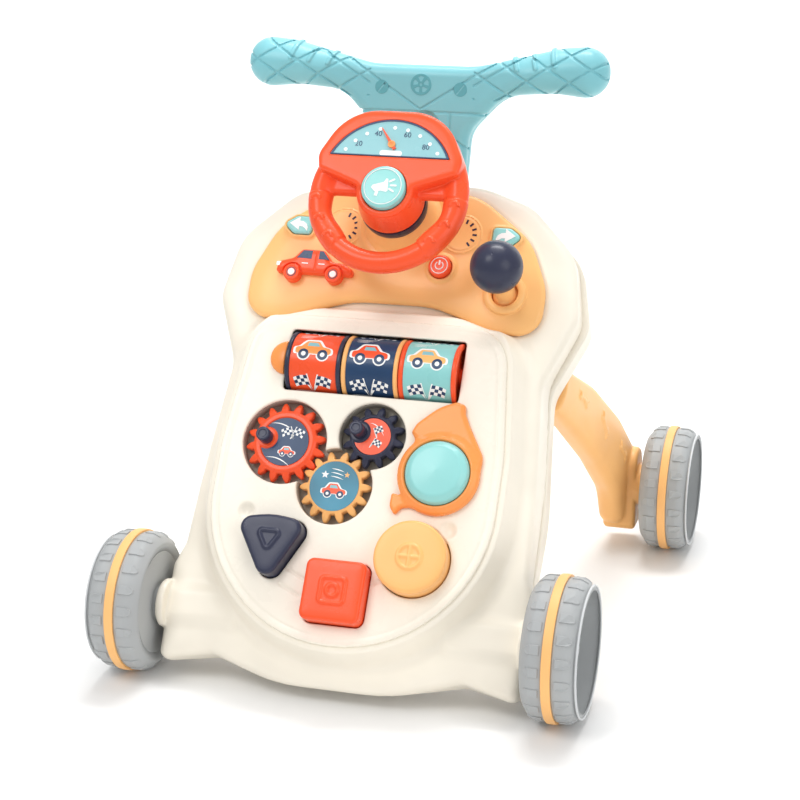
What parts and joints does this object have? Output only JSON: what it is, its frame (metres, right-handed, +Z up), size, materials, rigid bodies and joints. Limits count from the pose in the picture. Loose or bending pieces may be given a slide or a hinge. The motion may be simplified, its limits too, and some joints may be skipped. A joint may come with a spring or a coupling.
{
  "type": "baby walker",
  "caption": "Push-along baby walker with a sloping activity panel, T-shaped handle and four wheels, with gears, drums, buttons, shape blocks and a toy steering wheel.",
  "frame": {"origin": "on the floor, midway between the front and rear axles, on the middle plane", "axes": "+X to the right of someone facing the activity panel, +Y from the panel towards the rear wheels, +Z up"},
  "size_m": [0.4362, 0.471, 0.467],
  "materials": {
    "shell_cream": "satin moulded",
    "board_cream": "satin moulded",
    "console_orange": "satin moulded",
    "leg_orange": "satin moulded",
    "band_orange": "soft moulded",
    "block_yellow": "satin moulded",
    "gear_yellow": "satin moulded",
    "horn_orange": "satin moulded",
    "red": "gloss moulded",
    "navy": "gloss moulded",
    "teal": "gloss moulded",
    "handle_blue": "satin moulded",
    "drum_blue": "gloss moulded",
    "dial_blue": "printed",
    "tyre_grey": "satin moulded",
    "steel": "plain",
    "inner_grey": "plain",
    "pcb_green": "plain"
  },
  "bodies": {
    "body": {"front_shell": "shell_cream", "rear_cover": "shell_cream", "activity_board": "board_cream", "gear_tray": "board_cream", "gear_posts": "board_cream", "console_cover": "console_orange", "toy_car": "red", "steering_column": "console_orange", "steering_collar": "navy", "drum_shaft": "steel", "roller_ear": "horn_orange", "horn_trim": "horn_orange", "dome_spring": "steel", "handle_front": "handle_blue", "handle_rear": "handle_blue", "leg_left": "leg_orange", "leg_right": "leg_orange", "front_axle": "steel", "rear_axle": "steel", "axle_caps": "tyre_grey", "battery_box": "inner_grey", "battery_door": "shell_cream", "speaker": "inner_grey", "circuit_board": "pcb_green", "screws": "steel"},
    "steering": {"steering_wheel": "red", "dial_plate": "dial_blue", "dial_needle": "red", "steering_clip": "inner_grey", "horn_spring": "steel"},
    "horn_button": {"horn_cap": "teal"},
    "lever": {"shift_stem": "console_orange", "shift_knob": "navy"},
    "turn_left": {"turn_button_left": "teal"},
    "turn_right": {"turn_button_right": "teal"},
    "start": {"start_button": "red"},
    "drum_1": {"drum_left": "red", "drum_rims_left": "navy"},
    "drum_2": {"drum_middle": "navy", "drum_rims_middle": "gear_yellow"},
    "drum_3": {"drum_right": "drum_blue", "drum_rims_right": "red"},
    "gear_1": {"gear_red": "red", "crank_knob_red": "navy"},
    "gear_2": {"gear_yellow": "gear_yellow"},
    "gear_3": {"gear_navy": "navy", "crank_knob_navy": "navy"},
    "dome": {"dome_button": "teal"},
    "triangle": {"block_triangle": "navy"},
    "square": {"block_square": "red"},
    "circle": {"block_circle": "block_yellow"},
    "front_left_wheel": {"wheel_front_left": "tyre_grey", "band_front_left": "band_orange"},
    "front_right_wheel": {"wheel_front_right": "tyre_grey", "band_front_right": "band_orange"},
    "rear_left_wheel": {"wheel_rear_left": "tyre_grey", "band_rear_left": "band_orange"},
    "rear_right_wheel": {"wheel_rear_right": "tyre_grey", "band_rear_right": "band_orange"}
  },
  "joints": [
    {"name": "front_left_spin", "type": "hinge", "parent": "body", "child": "front_left_wheel", "pos_m": [-0.1698, -0.1795, 0.056], "axis": [1, 0, 0], "continuous": true},
    {"name": "front_right_spin", "type": "hinge", "parent": "body", "child": "front_right_wheel", "pos_m": [0.1698, -0.1795, 0.056], "axis": [1, 0, 0], "continuous": true},
    {"name": "rear_left_spin", "type": "hinge", "parent": "body", "child": "rear_left_wheel", "pos_m": [-0.1961, 0.1795, 0.056], "axis": [1, 0, 0], "continuous": true},
    {"name": "rear_right_spin", "type": "hinge", "parent": "body", "child": "rear_right_wheel", "pos_m": [0.1961, 0.1795, 0.056], "axis": [1, 0, 0], "continuous": true},
    {"name": "steering_turn", "type": "hinge", "parent": "body", "child": "steering", "pos_m": [0, -0.04708, 0.36025], "axis": [0, -0.8192, 0.5736], "range_deg": [-45, 45]},
    {"name": "horn_press", "type": "slide", "parent": "steering", "child": "horn_button", "axis": [0, 0.8192, -0.5736], "range_m": [0, 0.0025], "stiffness_N_per_m": 300, "springref_m": -0.003, "deforming": ["horn_spring"]},
    {"name": "lever_shift", "type": "hinge", "parent": "body", "child": "lever", "pos_m": [0.0915, -0.03185, 0.28123], "axis": [1, 0, 0], "range_deg": [0, 17]},
    {"name": "turn_left_press", "type": "slide", "parent": "body", "child": "turn_left", "axis": [0, 0.8192, -0.5736], "range_m": [0, 0.002], "stiffness_N_per_m": 300, "springref_m": -0.003},
    {"name": "turn_right_press", "type": "slide", "parent": "body", "child": "turn_right", "axis": [0, 0.8192, -0.5736], "range_m": [0, 0.002], "stiffness_N_per_m": 300, "springref_m": -0.003},
    {"name": "start_press", "type": "slide", "parent": "body", "child": "start", "axis": [0, 0.8192, -0.5736], "range_m": [0, 0.002], "stiffness_N_per_m": 300, "springref_m": -0.003},
    {"name": "drum_1_spin", "type": "hinge", "parent": "body", "child": "drum_1", "pos_m": [-0.0462, -0.07978, 0.22811], "axis": [1, 0, 0], "continuous": true},
    {"name": "drum_2_spin", "type": "hinge", "parent": "body", "child": "drum_2", "pos_m": [0, -0.07978, 0.22811], "axis": [1, 0, 0], "continuous": true},
    {"name": "drum_3_spin", "type": "hinge", "parent": "body", "child": "drum_3", "pos_m": [0.0462, -0.07978, 0.22811], "axis": [1, 0, 0], "continuous": true},
    {"name": "gear_red_spin", "type": "hinge", "parent": "body", "child": "gear_1", "pos_m": [-0.0615, -0.12494, 0.17757], "axis": [0, -0.8192, 0.5736], "continuous": true},
    {"name": "gear_yellow_spin", "type": "hinge", "parent": "body", "child": "gear_2", "pos_m": [-0.01576, -0.14297, 0.15182], "axis": [0, -0.8192, 0.5736], "continuous": true},
    {"name": "gear_navy_spin", "type": "hinge", "parent": "body", "child": "gear_3", "pos_m": [0.00792, -0.11896, 0.18612], "axis": [0, -0.8192, 0.5736], "continuous": true},
    {"name": "dome_press", "type": "slide", "parent": "body", "child": "dome", "axis": [0, 0.8192, -0.5736], "range_m": [0, 0.003], "stiffness_N_per_m": 300, "springref_m": -0.004, "deforming": ["dome_spring"]},
    {"name": "triangle_lift", "type": "slide", "parent": "body", "child": "triangle", "axis": [0, -0.8192, 0.5736], "range_m": [0, 0.028]},
    {"name": "square_lift", "type": "slide", "parent": "body", "child": "square", "axis": [0, -0.8192, 0.5736], "range_m": [0, 0.028]},
    {"name": "circle_lift", "type": "slide", "parent": "body", "child": "circle", "axis": [0, -0.8192, 0.5736], "range_m": [0, 0.028]}
  ],
  "couplings": [
    {"joint": "gear_yellow_spin", "follows": "gear_red_spin", "ratio": -1.1429},
    {"joint": "gear_navy_spin", "follows": "gear_red_spin", "ratio": 1.3333}
  ]
}
